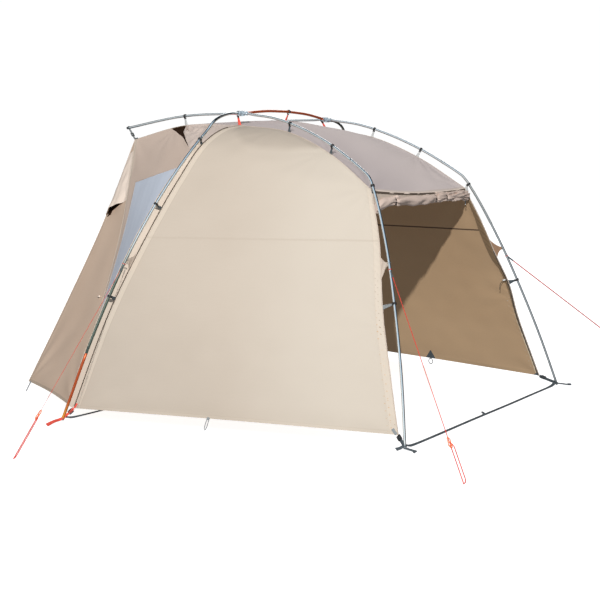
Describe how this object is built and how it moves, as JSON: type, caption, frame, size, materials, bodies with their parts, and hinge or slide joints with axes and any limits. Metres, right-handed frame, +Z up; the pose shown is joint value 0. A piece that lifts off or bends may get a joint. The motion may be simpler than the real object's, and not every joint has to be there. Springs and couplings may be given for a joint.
{
  "type": "drive-away awning",
  "caption": "Free-standing cloth shelter hung below crossing bent poles, with a wide open door at one end and a flared open mouth towards a vehicle at the other.",
  "frame": {"origin": "centre of the footprint, guys included, on the ground", "axes": "+X from the vehicle mouth towards the door, +Y to the awning's left when looking out of the door, +Z up"},
  "size_m": [4.1529, 5.8066, 2.2694],
  "materials": {
    "silver_pole": "bare drawn tube, satin",
    "orange_pole": "anodised orange tube, satin",
    "hub_plastic": "clear moulded plastic, slightly blue",
    "wall_cloth": "sand coloured coated polyester",
    "roof_cloth": "mauve grey coated polyester",
    "side_cloth": "brown coated polyester",
    "window_film": "blue grey clear film with a curtain behind",
    "webbing": "woven dark grey webbing",
    "red_webbing": "woven orange red webbing",
    "guy_cord": "braided orange red cord",
    "clip_plastic": "moulded black plastic"
  },
  "bodies": {
    "root": {"long_pole_leg_near": "silver_pole", "long_pole_front_near": "silver_pole", "long_pole_rear_near": "silver_pole", "arch_foot_near": "orange_pole", "arch_leg_near": "silver_pole", "arch_shoulder_near": "silver_pole", "hub_near": "hub_plastic", "wall_near": "wall_cloth", "tunnel_side_near": "side_cloth", "window_near": "window_film", "tunnel_corner_near": "side_cloth", "vent_hood_near": "wall_cloth", "gusset_door_near": "wall_cloth", "gusset_arch_near": "wall_cloth", "foot_strap_door_near": "webbing", "foot_strap_arch_near": "red_webbing", "guy_rope_door_near": "guy_cord", "guy_rope_arch_near": "guy_cord", "mouth_strap_near": "webbing", "rear_clip_near": "clip_plastic", "roof_clip_near": "clip_plastic", "elbow_clip_near": "clip_plastic", "arch_clip_near": "clip_plastic", "long_pole_leg_far": "silver_pole", "long_pole_front_far": "silver_pole", "long_pole_rear_far": "silver_pole", "arch_foot_far": "orange_pole", "arch_leg_far": "silver_pole", "arch_shoulder_far": "silver_pole", "hub_far": "hub_plastic", "wall_far": "wall_cloth", "tunnel_side_far": "side_cloth", "window_far": "window_film", "tunnel_corner_far": "side_cloth", "vent_hood_far": "wall_cloth", "gusset_door_far": "wall_cloth", "gusset_arch_far": "wall_cloth", "foot_strap_door_far": "webbing", "foot_strap_arch_far": "red_webbing", "guy_rope_door_far": "guy_cord", "guy_rope_arch_far": "guy_cord", "mouth_strap_far": "webbing", "rear_clip_far": "clip_plastic", "roof_clip_far": "clip_plastic", "elbow_clip_far": "clip_plastic", "arch_clip_far": "clip_plastic", "arch_ridge": "orange_pole", "roof_front": "roof_cloth", "roof_rear": "roof_cloth", "door_roll": "wall_cloth", "mouth_roll": "side_cloth", "ground_strap_door": "webbing", "ground_strap_arch": "webbing", "ridge_clip": "clip_plastic"}
  },
  "joints": []
}
